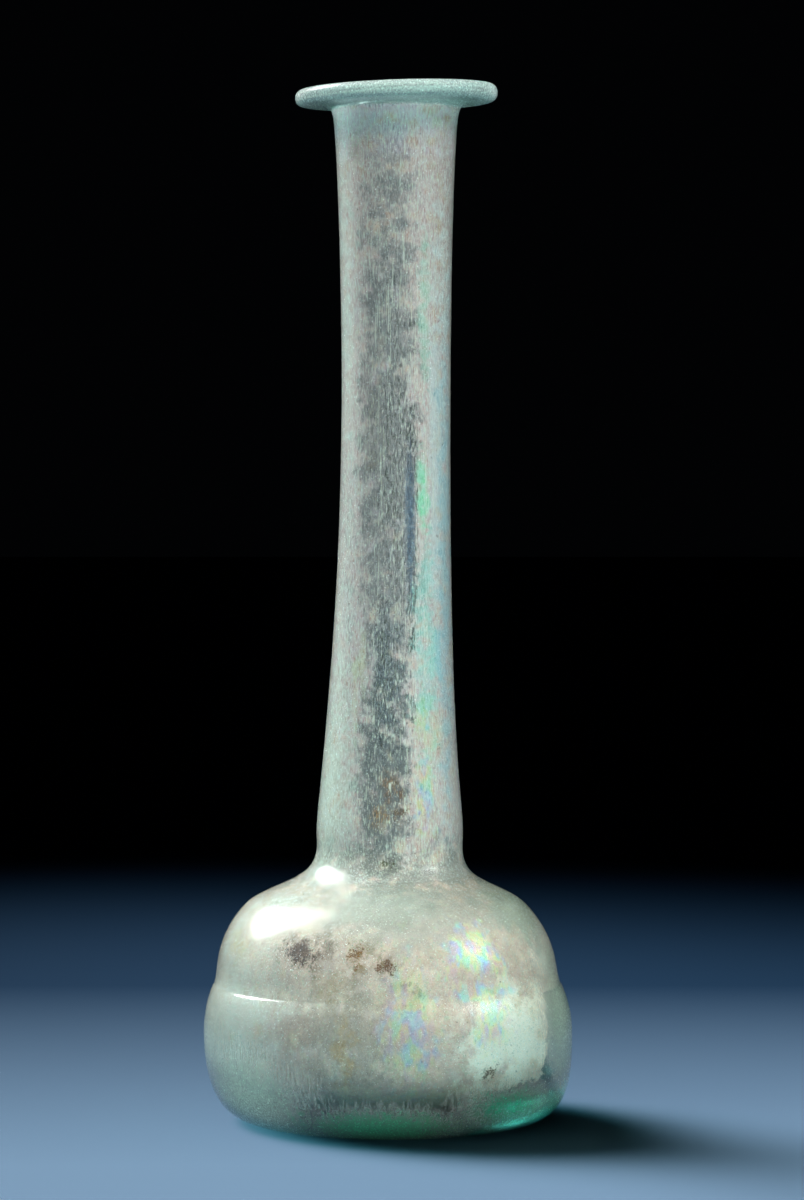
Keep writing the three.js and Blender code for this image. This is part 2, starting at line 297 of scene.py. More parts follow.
vesselShape = {
    "weld": 0.001, "quadBend": 50, "quadSkew": 70,  # mm and degrees, for the clean-up of the frame's faces
    "smoothing": 2, "footFlat": 0.5,  # mm from the ground that stay flat
    "swayHeight": 26, "swayDepth": 0.05,  # slow swells left by blowing and turning
    "drawWidth": 1.6, "drawLength": 22, "drawDepth": 0.012,  # upright lines left by drawing the neck out
}
# fine grooves round the outside: height and rise to the right, beyond a reach from the axis, and the
# degrees to the left of the front between which they get deeper
toolLines = [
    {"height": 20.05, "rise": 0, "half": 0.15, "depth": 0.14, "reach": 23.6, "fade": (0, 30)},
    {"height": 148.75, "rise": 0.06, "half": 0.14, "depth": 0.07, "reach": 12.4, "fade": (-300, -200)},
]
toolMark = {
    "rings": (-2, -1.2, -0.6, 0, 0.6, 1.2, 2), "width": 2.1,  # half widths of the groove
    "band": 2,  # mm over and under the line in which faces are cut
    "shallow": 0.35,  # share of the depth that the right side keeps
}


def selectFaces(piece, wanted):  # leaves the piece in edit mode, with the wanted faces selected
    only(piece)
    bpy.ops.object.mode_set(mode="EDIT")
    bpy.ops.mesh.select_mode(type="FACE")
    bpy.ops.mesh.select_all(action="DESELECT")
    bpy.ops.object.mode_set(mode="OBJECT")
    for face in piece.data.polygons:
        face.select = bool(wanted(face))
    bpy.ops.object.mode_set(mode="EDIT")


def deleteFaces(piece, unwanted):
    selectFaces(piece, unwanted)
    bpy.ops.mesh.delete(type="FACE")
    bpy.ops.object.mode_set(mode="OBJECT")


def cutToolLine(piece, line, settings):  # the edge rings are cut first, then pushed in
    half = line["half"]

    def above(at):  # how far a place on the outside is over the line, in mm
        if math.hypot(at.x, at.y) > line["reach"]:
            return at.z - line["height"] - line["rise"] * at.x
        return math.inf

    for ring in settings["rings"]:
        selectFaces(piece, lambda face: abs(above(face.center / mm)) < settings["band"])
        height = (line["height"] + ring * half) * mm
        bpy.ops.mesh.bisect(plane_co=(0, 0, height), plane_no=(-line["rise"], 0, 1))
        bpy.ops.object.mode_set(mode="OBJECT")

    def grooveAt(at, _normal):
        over = above(at)
        if abs(over) >= settings["width"] * half:
            return 0
        shallow = settings["shallow"]
        worn = shallow + (1 - shallow) * smooth(-turnOf(at), *line["fade"])
        return -line["depth"] * worn * math.exp(-(over / half) ** 2)

    pushOut(piece, grooveAt)


def makeVessel(settings):
    piece = meshCopy(frame["nodes"]["glass_vessel"], "blown_glass_vessel")
    only(piece)
    bpy.ops.object.mode_set(mode="EDIT")
    bpy.ops.mesh.select_all(action="SELECT")
    bpy.ops.mesh.remove_doubles(threshold=settings["weld"] * mm)
    bend = math.radians(settings["quadBend"])
    skew = math.radians(settings["quadSkew"])
    bpy.ops.mesh.tris_convert_to_quads(face_threshold=bend, shape_threshold=skew)
    bpy.ops.object.mode_set(mode="OBJECT")
    applyModifier(piece, "SUBSURF", levels=settings["smoothing"], render_levels=settings["smoothing"])

    def swayAt(at, _normal):
        if at.z < settings["footFlat"]:
            return 0
        sway = noise.noise(at / settings["swayHeight"]) * settings["swayDepth"]
        drawn = Vector((at.x, at.y, at.z * settings["drawWidth"] / settings["drawLength"]))
        return sway + noise.noise(drawn / settings["drawWidth"]) * settings["drawDepth"]

    pushOut(piece, swayAt)
    for line in toolLines:
        cutToolLine(piece, line, toolMark)
    only(piece)
    bpy.ops.object.shade_smooth()
    piece.data.materials.append(blownGlassMaterial(blownGlass))
    return piece


vessel = makeVessel(vesselShape)
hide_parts("glass_vessel")
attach(vessel, "root")
print("glass blown:", len(vessel.data.polygons), "faces")


# Pearly lining

pearl = {
    # stops along a noise, and the colours there
    "body": [(0.3, "#d2beb4"), (0.42, "#c6a496"), (0.5, "#e0bcac"), (0.56, "#cca796"), (0.7, "#f8d6c4")],
    "sideShift": 0.08, "sideReach": 22,  # the stops shift to the left and right of the axis, by mm
    "warmFilm": [(0.36, "#b8e6bc"), (0.46, "#ece2a0"), (0.56, "#f6cdaa"), (0.64, "#e8b4ba")],
    "coolFilm": [(0.36, "#aee6da"), (0.46, "#a6cbe6"), (0.55, "#bcaedc"), (0.64, "#dcb4cc")],
    # painted shade: a dark slate streaked over the front middle, where neither side lamp reaches
    "shadeSlate": "#5d666d",
    "marks": {  # colour, the noise that carries it, and between which of its values it comes in
        "speck": ("#33281e", "speck", 0.68, 0.73),
        "scratch": ("#efe9d6", "scratch", 0.64, 0.68),
        "fleck": ("#f3f6ee", "grain", 0.57, 0.66),
    },
    "inside": "#c6c3b2", "insideShare": 0.8,  # the side that looks into the bottle is plainer
    "noises": {  # width and height of the features in mm, and how finely they break up
        "patch": (7, 7, 5), "uneven": (2.4, 2.4, 3), "speck": (0.7, 0.7, 3),
        "film": (1.5, 3.1, 1.8), "streak": (0.26, 1.5, 4), "scratch": (0.2, 11, 1),
    },
    "stray": 1.1,  # how far a spot's outline strays, as a share of its reach
    # from and to in the noise of each
    "grainSpan": (0.34, 0.66), "streakSpan": (0.44, 0.6), "coolSpan": (0.49, 0.6),
    "stainCore": 0.85, "stainFull": 0.1, "stainSpan": (0.85, 1.25),  # how stains, and painted highlights, break up into specks
    "flakeSpan": (0.36, 0.64), "flakeShare": -1.25, "alphaSpan": (-0.25, 0),  # and the lining into flakes
    "thinning": (0, 1.3, 0.75, 0),  # mm from the edge, and how much of the lining is gone there
    "filmAnywhere": (0.5, 0.7, 0, 0.15),  # from and to in the noise, and the values there
    "filmThickness": (0.35, 0.65, 345, 430),  # of the loose layers, in nanometres
    "filmIor": 1.8,
    "looseFilm": 0.4, "looseFrom": 0.72,  # grains are loose from this sum of film and grain on
    "metallic": (0.12, 0.26),
    "roughness": (0.3, 0.7, 0.4, 0.58),
    "reliefDepth": 0.06,
}
bulbPlaces = {  # middle and reach in mm, colour, and how much it covers
    "washes": [
        ((-25, -13, 13), (15, 17, 17), "#d6c6bc", 0.6),
        ((19, -17, 14), (10, 14, 9), "#fde6cf", 0.65),
        ((19, -5, 31), (10, 13, 5.5), "#9aa592", 0.65),
        # partly the lining's brown-grey tone, partly painted shade in the bulb's front middle, which the side
        # lamps light least
        ((-4, -26, 15), (13, 9, 11), "#8a7b6c", 0.55),
        ((-6, -27, 13), (2.2, 8, 7), "#c4935a", 0.6),
        ((4, -18, 31), (18, 16, 6), "#b5a69c", 0.65),
        ((-13.5, -23, 13), (4, 8, 8), "#b98f80", 0.55),
        ((0.5, -27, 17), (3.4, 8, 4), "#cf9a94", 0.45),
        ((-8, -25, 22), (4, 6, 4), "#bd9468", 0.45),
        ((-22, -11, 27), (4, 8, 3.5), "#cfae78", 0.5),
        ((24.5, -9, 26), (4.5, 9, 7), "#8f9c90", 0.7),
        ((-1, -16, 32.5), (10, 9, 4), "#9f9488", 0.7),
        ((17, -19, 14), (9, 10, 8), "#fff0e2", 0.8),
        ((3, -24, 5.6), (18, 10, 3), "#f6dcc0", 0.9),
        ((0, 0, 36), (18, 18, 6.5), "#8f857c", 0.8),
    ],
    "stainsAndGlints": [
        ((-11.9, -21.2, 27), (7, 8, 5), "#65452f", 0.9),
        ((-4, -24, 26.4), (2.5, 7, 4.2), "#8d6030", 0.9),
        ((-0.4, -24.5, 25.4), (2.3, 7, 3.4), "#7a5230", 0.88),
        ((-2.4, -24, 27), (5.5, 6, 3.4), "#8d7450", 0.5),
        ((4, -25, 22), (3.4, 5, 2.4), "#6f5538", 0.6),
        ((15.4, -21.8, 8.8), (4, 5, 2), "#655138", 0.75),
        ((-5, -25.3, 19), (0.5, 2, 0.5), "#241c16", 1),
        ((-4.5, -25.6, 17.8), (0.4, 2, 0.4), "#2c231b", 1),
        ((17.3, -20.7, 12.3), (0.8, 2, 0.8), "#59625a", 1),
        ((18.2, -10.2, 30.7), (1.1, 3, 0.9), "#66736a", 1),
    ],
    "films": [
        ((12.7, -20, 27), (5.6, 7, 5), 1),
        ((13.3, -21.2, 20.6), (6, 7, 2), 0.7),
        ((14.6, -21.8, 16.5), (4, 7, 4.5), 0.7),
        ((3.2, -25.5, 17), (5, 9, 12), 0.55),
    ],
    "worn": [
        ((-15.2, -20.7, 5.8), (4.6, 6, 1.8), 0.6),
        ((8, -25, 5), (9, 6, 1.4), 0.42),
    ],
    "marks": {"speck": 0.8, "scratch": 0, "fleck": 0.15},
    "grain": (0.24, 0.3, 4), "grainShare": 0.26,
    "edge": (12, 10), "flaking": "speck",  # heights between which the edge thins out, and the noise for it
    # painted shade: slate streaks low in the bulb's front middle
    "shadeSlate": ((-6, -24, 12), (16, 14, 14), 0.25),
}
neckPlaces = {
    "washes": [
        ((1, 0, 95), (30, 30, 120), "#dcc9c8", 0.65),
        # painted shade: the neck's front middle darker, between the sides the two softboxes light
        ((0, -9, 94), (5.6, 8, 70), "#7b7a78", 0.75),
        ((-0.4, -10, 50), (5.2, 8, 20), "#545957", 0.75),
        ((-6, -6, 85), (2.2, 5, 30), "#aeb0a8", 0.5),
        # partly the lining's pale tone, partly painted light: a mint-white band down the neck's left, where
        # the key softbox shines
        ((-7.5, -4, 118), (3.5, 6, 26), "#e2f2e4", 0.55),
        # painted highlight: a pale band down the neck's right edge, where the side softbox shines
        ((6.6, -5, 95), (1.3, 5, 42), "#dfeaea", 0.5),
        # painted shade: dark slate round the bare strip, for the unlit inside seen through it
        ((3.2, -9, 91), (0.9, 5, 15), "#4c6170", 0.6),
        # painted shade: darker in the neck's front middle
        ((0, -9, 67), (2.8, 5, 11), "#56616b", 0.6),
        ((1, 8, 92), (12, 7.5, 70), "#66717c", 0.85),
        ((-9, -6, 50), (5, 9, 26), "#d6d6c6", 0.6),
        ((-3.4, -9, 68), (0.8, 5, 7), "#efe0bf", 0.7),
        ((6.4, -8, 57), (3, 6, 5), "#ecd2a0", 0.5),
        ((5.4, -8, 69), (2.8, 5, 20), "#9adccf", 0.65),
        ((7.8, -4, 86), (1.5, 5, 44), "#a9cdd6", 0.7),
        # painted light: a pink wash under the rim that cancels the teal tint of the light reaching it through
        # the rim's thick glass
        ((0, 0, 146), (14, 14, 8), "#e6ccd4", 0.7),
        ((-4.7, -7, 84), (0.7, 3, 9), "#d8b890", 0.6),
        ((-4.4, -7.5, 64), (0.6, 3, 9), "#efe2bc", 0.6),
        ((4.75, -8, 91), (1.05, 6, 7.4), "#a4e2bc", 1),
        ((5, -8, 118), (1, 5, 14), "#9fe0c4", 0.5),
        ((0, 0, 36), (18, 18, 6.5), "#8f857c", 0.8),
    ],
    "stainsAndGlints": [
        ((0.3, -10, 50.2), (2.8, 6, 2.2), "#8a5f3c", 0.8),
        ((-0.7, -10.5, 44.6), (2.2, 6, 2.8), "#a06c34", 0.9),
        ((1.6, -10.4, 45.1), (1.9, 6, 2.8), "#70482a", 0.9),
        ((2, -10.4, 48), (0.9, 6, 2.4), "#70482a", 0.9),
        ((0, -10.4, 47.4), (1.1, 6, 1.3), "#70482a", 0.9),
        ((0.6, -11.6, 38), (2.4, 4, 3), "#45452c", 0.7),
        ((-3.4, -11, 41.6), (1.6, 4, 1), "#6c6a48", 0.6),
        ((-4.4, -6.8, 140.7), (2, 5, 4), "#857f48", 0.5),
        ((7.7, -3, 145.3), (0.8, 4, 1.2), "#c07c3a", 0.7),
        ((6.6, -5, 144.6), (0.9, 4, 1.6), "#b5ad6a", 0.4),
        # partly pale flecks in the lining, partly painted highlights of the key softbox down the neck's left
        # third
        ((-8, -5, 90), (5, 9, 62), "#f3eedc", 0.35),
        # painted highlight: near-white specks down the neck's right edge, glints of the side softbox
        ((7.6, -4, 122), (1.4, 6, 26), "#fbf8f0", 0.6),
        ((-6.9, -5, 136), (2, 6, 9), "#d9dcc4", 0.5),
        ((-7.4, -6, 61), (1.2, 4, 3), "#a87f4c", 0.6),
        ((-2, -8, 100), (2, 4, 12), "#8a7458", 0.4),
    ],
    "films": [
        ((5, -9.2, 48), (2, 5, 9), 0.62),
        ((4.9, -8.8, 58), (2, 5, 5), 0.5),
    ],
    "worn": [
        ((0, -8.6, 66), (3, 6, 14), 0.42),
        ((1.2, -8, 95), (3, 6, 30), 0.3),
        ((3.3, -8, 82), (0.9, 5, 34), 0.5),
    ],
    "marks": {"speck": 0.8, "scratch": 0.6, "fleck": 0.34},
    "grain": (0.18, 1, 4), "grainShare": 0.45,
    "edge": (45, 50), "flaking": "grain",
    # painted shade: slate streaks down the neck's front middle
    "shadeSlate": ((0, -9, 92), (5.2, 8, 66), 0.35),
}


def pearlMaterial(name, settings, places):  # glass weathered into thin loose layers: milky, with a lustre
    material, tree = newMaterial(name)
    place = addNode(tree, "TexCoord", out="Object")
    axes = addNode(tree, "SeparateXYZ", {0: place})
    noises = {}
    for what, (wide, tall, detail) in {**settings["noises"], "grain": places["grain"]}.items():
        stretched = addNode(tree, "Mapping", {"Vector": place, "Scale": (1, 1, wide / tall)}, out=0)
        noises[what] = addNode(tree, "TexNoise", {
            "Vector": stretched, "Scale": 1 / (wide * mm), "Detail": detail, "Roughness": 0.65,
        }, out="Color" if what == "film" else "Fac")
    grain = addNode(tree, "MapRange", (noises["grain"], *settings["grainSpan"]), out=0)
    stray = settings["stray"]
    uneven = addNode(tree, "MapRange", (noises["uneven"], 0, 1, -stray, stray), out=0)

    shift = settings["sideShift"]
    across = settings["sideReach"] * mm
    side = addNode(tree, "MapRange", (axes.outputs["X"], -across, across, -shift, shift), out=0)
    tone = addNode(tree, "Math", (noises["patch"], side), out=0, operation="ADD")
    colour = setRamp(addNode(tree, "ValToRGB", {"Fac": tone}), settings["body"])
    tones = []  # what lies over the body from the bottom up: share and colour
    for middle, reach, wash, most in places["washes"]:
        tones.append((spotShare(tree, place, uneven, middle, reach, most), linear(wash)))

    filmShare = addNode(tree, "MapRange", (noises["uneven"], *settings["filmAnywhere"]), out=0)
    for middle, reach, most in places["films"]:
        share = spotShare(tree, place, uneven, middle, reach, most)
        filmShare = addNode(tree, "Math", (filmShare, share), out=0, operation="MAXIMUM")
    layers = addNode(tree, "SeparateColor", {0: noises["film"]})
    warm = setRamp(addNode(tree, "ValToRGB", {"Fac": layers.outputs[0]}), settings["warmFilm"])
    cool = setRamp(addNode(tree, "ValToRGB", {"Fac": layers.outputs[1]}), settings["coolFilm"])
    share = addNode(tree, "MapRange", (layers.outputs[2], *settings["coolSpan"]), out=0)
    tones.append((filmShare, addNode(tree, "Mix", {0: share, 6: warm, 7: cool}, out=2, data_type="RGBA")))

    # painted shade: dark slate streaks in the front middle
    streak = addNode(tree, "MapRange", (noises["streak"], *settings["streakSpan"]), out=0)
    share = spotShare(tree, place, uneven, *places["shadeSlate"])
    streak = addNode(tree, "Math", (streak, share), out=0, operation="MULTIPLY")
    tones.append((streak, linear(settings["shadeSlate"])))
    # stains, and on the neck some painted highlights in near-white
    for middle, reach, blotTone, most in places["stainsAndGlints"]:  # these break up into specks
        share = spotShare(tree, place, uneven, middle, reach, settings["stainCore"], settings["stainFull"])
        share = addNode(tree, "Math", (share, grain), out=0, operation="ADD")
        share = addNode(tree, "MapRange", (share, *settings["stainSpan"], 0, most), out=0)
        tones.append((share, linear(blotTone)))
    for what, (mark, carrier, low, high) in settings["marks"].items():
        share = addNode(tree, "MapRange", (noises[carrier], low, high, 0, places["marks"][what]), out=0)
        tones.append((share, linear(mark)))
    for share, over in tones:
        colour = addNode(tree, "Mix", {0: share, 6: colour, 7: over}, out=2, data_type="RGBA")
    colour = addNode(tree, "Mix", {
        0: places["grainShare"], 6: colour, 7: grain,
    }, out=2, data_type="RGBA", blend_type="OVERLAY")
    inner = addNode(tree, "Attribute", attribute_name="inner").outputs["Fac"]
    inner = addNode(tree, "Math", (inner, settings["insideShare"]), out=0, operation="MULTIPLY")
    inside = linear(settings["inside"])
    colour = addNode(tree, "Mix", {0: inner, 6: colour, 7: inside}, out=2, data_type="RGBA")

    cover = addNode(tree, "Attribute", attribute_name="cover").outputs["Fac"]
    thin = addNode(tree, "MapRange", (cover, *settings["thinning"]), out=0)
    low, high = places["edge"]
    nearEdge = addNode(tree, "MapRange", (axes.outputs["Z"], low * mm, high * mm), out=0)
    thin = addNode(tree, "Math", (thin, nearEdge), out=0, operation="MULTIPLY")
    for middle, reach, most in places["worn"]:
        share = spotShare(tree, place, uneven, middle, reach, most)
        thin = addNode(tree, "Math", (thin, share), out=0, operation="MAXIMUM")
    flakes = addNode(tree, "MapRange", (noises[places["flaking"]], *settings["flakeSpan"]), out=0)
    left = addNode(tree, "Math", (thin, settings["flakeShare"], flakes), out=0, operation="MULTIPLY_ADD")

    bump = addNode(tree, "Bump", {
        "Height": noises["grain"], "Distance": settings["reliefDepth"] * mm, "Strength": 0.8,
    }, out=0)
    thickness = addNode(tree, "MapRange", (layers.outputs[0], *settings["filmThickness"]), out=0)
    loose = addNode(tree, "Math", (filmShare, settings["looseFilm"], grain), out=0, operation="MULTIPLY_ADD")
    loose = addNode(tree, "Math", (loose, settings["looseFrom"]), out=0, operation="GREATER_THAN")
    shell = addNode(tree, "BsdfPrincipled", {
        "Base Color": colour,
        "Roughness": addNode(tree, "MapRange", (noises["uneven"], *settings["roughness"]), out=0),
        "Metallic": addNode(tree, "MapRange", (filmShare, 0, 1, *settings["metallic"]), out=0),
        "Alpha": addNode(tree, "MapRange", (left, *settings["alphaSpan"]), out=0),
        "Thin Film Thickness": addNode(tree, "Math", (thickness, loose), out=0, operation="MULTIPLY"),
        "Thin Film IOR": settings["filmIor"],
        "Normal": bump,
    }, out=0)
    addNode(tree, "OutputMaterial", {"Surface": shell})
    return material


liningBase = {  # heights and reaches of the wall it lies on, in mm
    "low": 4.7, "top": 149, "floorTop": 9, "floorReach": 3, "shoulder": (21, 38),
    "inward": 0.2,  # how far a face of the wall looks towards the axis
    "level": 0.5,  # how far one of the floor looks up, or one of the vault down
}


def makeInnerWall(glassPiece, settings):  # the glass's inside face alone, turned to look at the glass
    wall = meshCopy(glassPiece, "inner_wall")

    def outside(face):
        at, out = face.center / mm, face.normal
        reach = math.hypot(at.x, at.y)
        walls = out.x * at.x + out.y * at.y < -settings["inward"] * reach
        floor = out.z > settings["level"] and at.z < settings["floorTop"] and reach > settings["floorReach"]
        vault = out.z < -settings["level"] and settings["shoulder"][0] < at.z < settings["shoulder"][1]
        return not ((walls or floor or vault) and settings["low"] < at.z < settings["top"])

    deleteFaces(wall, outside)
    only(wall)
    bpy.ops.object.mode_set(mode="EDIT")
    bpy.ops.mesh.select_all(action="SELECT")
    bpy.ops.mesh.flip_normals()
    bpy.ops.object.mode_set(mode="OBJECT")
    return wall


innerWall = makeInnerWall(vessel, liningBase)
print("inner wall:", len(innerWall.data.polygons), "faces")


hollow = {"bulbMiddle": 18, "neckFrom": 34.8}  # heights inside the bottle
smoothUpTo = 50  # degrees between faces that still look like one curve


def facesInside(piece):  # 1 for each vertex on the side that looks into the bottle, 0 for the others
    shares = []
    for vertex in piece.data.vertices:
        at = vertex.co / mm
        middle = Vector((0, 0, hollow["bulbMiddle"] if at.z < hollow["neckFrom"] else at.z))
        shares.append(float(vertex.normal.dot(at - middle) < 0))
    return shares


def makePatch(name, node, region, coverAt, layer):  # part of the inner wall where coverAt is over zero
    piece = meshCopy(innerWall, name)
    deleteFaces(piece, lambda face: not region(face.center / mm))
    reach = layer["cell"]
    for step in range(layer["refine"] + 1):
        covers = [coverAt(vertex.co / mm, vertex.normal) for vertex in piece.data.vertices]

        def nearEdge(face):
            around = [covers[i] for i in face.vertices]
            return min(around) < reach and max(around) > -reach

        selectFaces(piece, nearEdge)
        if step < layer["refine"]:
            bpy.ops.mesh.subdivide(number_cuts=1)
            reach /= 2
        else:
            bpy.ops.mesh.quads_convert_to_tris()
        bpy.ops.object.mode_set(mode="OBJECT")
    moves = {}
    places = [vertex.co.copy() for vertex in piece.data.vertices]
    for edge in piece.data.edges:
        a, b = edge.vertices
        if (covers[a] < 0) != (covers[b] < 0):
            share = covers[a] / (covers[a] - covers[b])
            near, other, way = (a, b, share) if share < 0.5 else (b, a, 1 - share)
            if near not in moves or way < moves[near][0]:
                moves[near] = (way, places[near].lerp(places[other], way))
    for i, (_, place) in moves.items():
        piece.data.vertices[i].co = place
        covers[i] = 0
    attribute = piece.data.attributes.new("cover", "FLOAT", "POINT")
    attribute.data.foreach_set("value", covers)
    deleteFaces(piece, lambda face: any(covers[i] < 0 for i in face.vertices))

    def gapAndRelief(at, _normal):
        return -layer["gapAt"](at) + layer["relief"] * rough(at, layer["reliefSize"], 1)

    pushOut(piece, gapAndRelief)
    applyModifier(piece, "SOLIDIFY", thickness=layer["thickness"] * mm, offset=-1)
    attribute = piece.data.attributes.new("inner", "FLOAT", "POINT")
    attribute.data.foreach_set("value", facesInside(piece))
    only(piece)
    bpy.ops.object.shade_smooth_by_angle(angle=math.radians(smoothUpTo))
    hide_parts(node)
    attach(piece, "root")
    print(name + ":", len(piece.data.polygons), "faces")
    return piece


bulbLining = {
    "below": 36,  # heights and sizes in mm
    "edge": 5, "rightEdge": 8.4, "rightShare": (0.45, 0.97), "steepest": 0.1,
    "ragged": 1.2, "raggedSize": 2.5, "fine": 0.6, "fineSize": 0.7,
    "crack": 34.79, "crackRagged": 0.25,
}
neckLining = {
    "above": 33,
    "crack": 34.81, "top": 148.1, "topRagged": 0.4, "topSize": 1.5,
    "strip": {  # a bare strip in front, to the right of the neck's middle
        "middle": 1.2, "side": 1.95, "half": 0.02, "low": 78, "high": 101,
        "ragged": 0.3, "raggedSize": 0.8, "behind": 9,
    },
}
liningGap = {
    "tight": -0.02, "loose": 0.27,  # mm off the glass, and how much more where it is loose
    "start": 61, "fade": 10, "back": (150, 172),  # degrees to the right of the front
    "lean": 2.5, "leanFrom": 20,  # the start moves back by degrees per mm above a height
    "top": (15, 20),
    "ragged": 3, "raggedSize": 2.4, "topSize": 3,
}


def gapAt(at):  # the lining holds fast to the glass on the left and in front, and stands off it on the right
    settings = liningGap
    turn = turnOf(at)
    start = settings["start"] + settings["lean"] * max(at.z - settings["leanFrom"], 0)
    start += settings["ragged"] * rough(at, settings["raggedSize"], 41)
    top = at.z + settings["ragged"] * rough(at, settings["topSize"], 43)
    loose = smooth(turn, start, start + settings["fade"])
    loose *= 1 - smooth(turn, *settings["back"])
    loose *= 1 - smooth(top, *settings["top"])
    return settings["tight"] + settings["loose"] * loose


liningLayer = {"cell": 0.7, "refine": 2, "relief": 0.02, "reliefSize": 0.9, "thickness": 0.3, "gapAt": gapAt}


def bulbCover(at, out):
    settings = bulbLining
    climb = smooth(math.sin(math.radians(turnOf(at))), *settings["rightShare"])
    edge = settings["edge"] + (settings["rightEdge"] - settings["edge"]) * climb
    slope = max(math.sqrt(max(1 - out.z * out.z, 0)), settings["steepest"])
    cover = (at.z - edge) / slope
    cover += settings["ragged"] * rough(at, settings["raggedSize"], 3)
    cover += settings["fine"] * rough(at, settings["fineSize"], 5)
    crack = settings["crack"] - at.z + settings["crackRagged"] * rough(at, settings["raggedSize"], 7)
    return min(cover, crack)


def neckCover(at, _out):
    settings = neckLining
    crack = at.z - settings["crack"] - bulbLining["crackRagged"] * rough(at, bulbLining["raggedSize"], 7)
    top = settings["top"] - at.z + settings["topRagged"] * rough(at, settings["topSize"], 9)
    strip = settings["strip"]
    if at.y >= 0:
        return min(crack, top, strip["behind"])
    aside = abs(at.x - strip["middle"] - strip["side"]) - strip["half"]
    beyond = max(strip["low"] - at.z, at.z - strip["high"])
    bare = max(aside, beyond) + strip["ragged"] * rough(at, strip["raggedSize"], 13)
    return min(crack, top, bare)


bulbPiece = makePatch(
    "pearly_bulb_lining", "bulb_crust",
    lambda at: at.z < bulbLining["below"], bulbCover, liningLayer,
)
neckPiece = makePatch(
    "pearly_neck_lining", "neck_crust",
    lambda at: at.z > neckLining["above"], neckCover, liningLayer,
)
bulbPiece.data.materials.append(pearlMaterial("weathered glass of the bulb", pearl, bulbPlaces))
neckPiece.data.materials.append(pearlMaterial("weathered glass of the neck", pearl, neckPlaces))

looseFlake = {"ragged": 0.5, "raggedSize": 1.1, "spare": 0.6}


def flakeCover(node):  # a ragged flake lying in its node's box, seen from above
    low, high = (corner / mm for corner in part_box(node))
    middle, half = (low + high) / 2, (high - low) / 2

    def coverAt(at, _out):
        across = math.hypot((at.x - middle.x) / half.x, (at.y - middle.y) / half.y)
        ragged = looseFlake["ragged"] * rough(at, looseFlake["raggedSize"], 21)
        return (1 - across) * min(half.x, half.y) + ragged
    return coverAt


def nearBox(node, spare):  # whether a place is over or inside a node's box, in mm
    low, high = (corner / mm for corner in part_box(node))
    return lambda at: all(low[i] - spare < at[i] < high[i] + spare for i in range(3))


flakePearl = pearlMaterial("weathered glass of the flakes", pearl, bulbPlaces)
flakeLayer = {"cell": 0.7, "refine": 2, "relief": 0.05, "reliefSize": 0.9, "thickness": 0.3,
              "gapAt": lambda at: 0.25}
for place in ("left", "front_left", "front", "front_right", "right"):
    node = "crust_flake_" + place
    flake = makePatch(
        "loose_flake_" + place, node,
        nearBox(node, looseFlake["spare"]), flakeCover(node), flakeLayer,
    )
    flake.data.materials.append(flakePearl)


# Burial soil held between the lining and the glass

soilColours = {  # the paler and the darker grains
    "shoulder_left": ("#5a3d2c", "#1f1511"),
    "shoulder_front": ("#8a5a28", "#3c2413"),
    "shoulder_middle": ("#6e4526", "#2f1d10"),
    "bulb_right": ("#6f5b3f", "#3f3224"),
    "neck_foot": ("#5c5a3c", "#36331f"),
    "neck_low": ("#80603c", "#4f3824"),
    "neck_middle": ("#7b6448", "#53402b"),
}
soilGrain = {
    "size": 0.24, "patchSize": 1.4, "depth": 0.08,
    "grainSpan": (0.34, 0.66), "paleSpan": (0.15, 0.35),
    "thinning": (0, 1.1, 1, 0.36),  # mm from the edge, and how much of the soil is gone there
    "flakeShare": -1.1, "alphaSpan": (-0.25, -0.05),
}
soilShape = {"ragged": 0.75, "raggedSize": 1.0, "fine": 0.3, "fineSize": 0.5, "spare": 1.2}


def soilMaterial(name, colours, settings):  # fine burial earth with iron and manganese in it: matt and grainy
    material, tree = newMaterial(name)
    place = addNode(tree, "TexCoord", out="Object")
    grain = addNode(tree, "TexNoise", {
        "Vector": place, "Scale": 1 / (settings["size"] * mm), "Detail": 4, "Roughness": 0.65,
    }, out=0)
    patches = addNode(tree, "TexNoise", {
        "Vector": place, "Scale": 1 / (settings["patchSize"] * mm), "Detail": 2,
    }, out=0)
    share = addNode(tree, "Math", (grain, patches), out=0, operation="MULTIPLY")
    share = addNode(tree, "MapRange", (share, *settings["paleSpan"]), out=0)
    pale, dark = [linear(colour) for colour in colours]
    colour = addNode(tree, "Mix", {0: share, 6: dark, 7: pale}, out=2, data_type="RGBA")
    cover = addNode(tree, "Attribute", attribute_name="cover").outputs["Fac"]
    thin = addNode(tree, "MapRange", (cover, *settings["thinning"]), out=0)
    even = addNode(tree, "MapRange", (grain, *settings["grainSpan"]), out=0)
    left = addNode(tree, "Math", (thin, settings["flakeShare"], even), out=0, operation="MULTIPLY_ADD")
    earth = addNode(tree, "BsdfPrincipled", {
        "Base Color": colour,
        "Roughness": 0.85,
        "Alpha": addNode(tree, "MapRange", (left, *settings["alphaSpan"]), out=0),
        "Normal": addNode(tree, "Bump", {"Height": grain, "Distance": settings["depth"] * mm}, out=0),
    }, out=0)
    addNode(tree, "OutputMaterial", {"Surface": earth})
    return material


def soilCover(node):  # a blot in its node's box, seen from the front, that breaks up into specks
    low, high = (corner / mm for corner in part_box(node))
    middle, half = (low + high) / 2, (high - low) / 2

    def coverAt(at, _out):
        across = math.hypot((at.x - middle.x) / half.x, (at.z - middle.z) / half.z)
        ragged = soilShape["ragged"] * rough(at, soilShape["raggedSize"], 31)
        ragged += soilShape["fine"] * rough(at, soilShape["fineSize"], 33)
        return (1 - across) * min(half.x, half.z) + ragged
    return coverAt


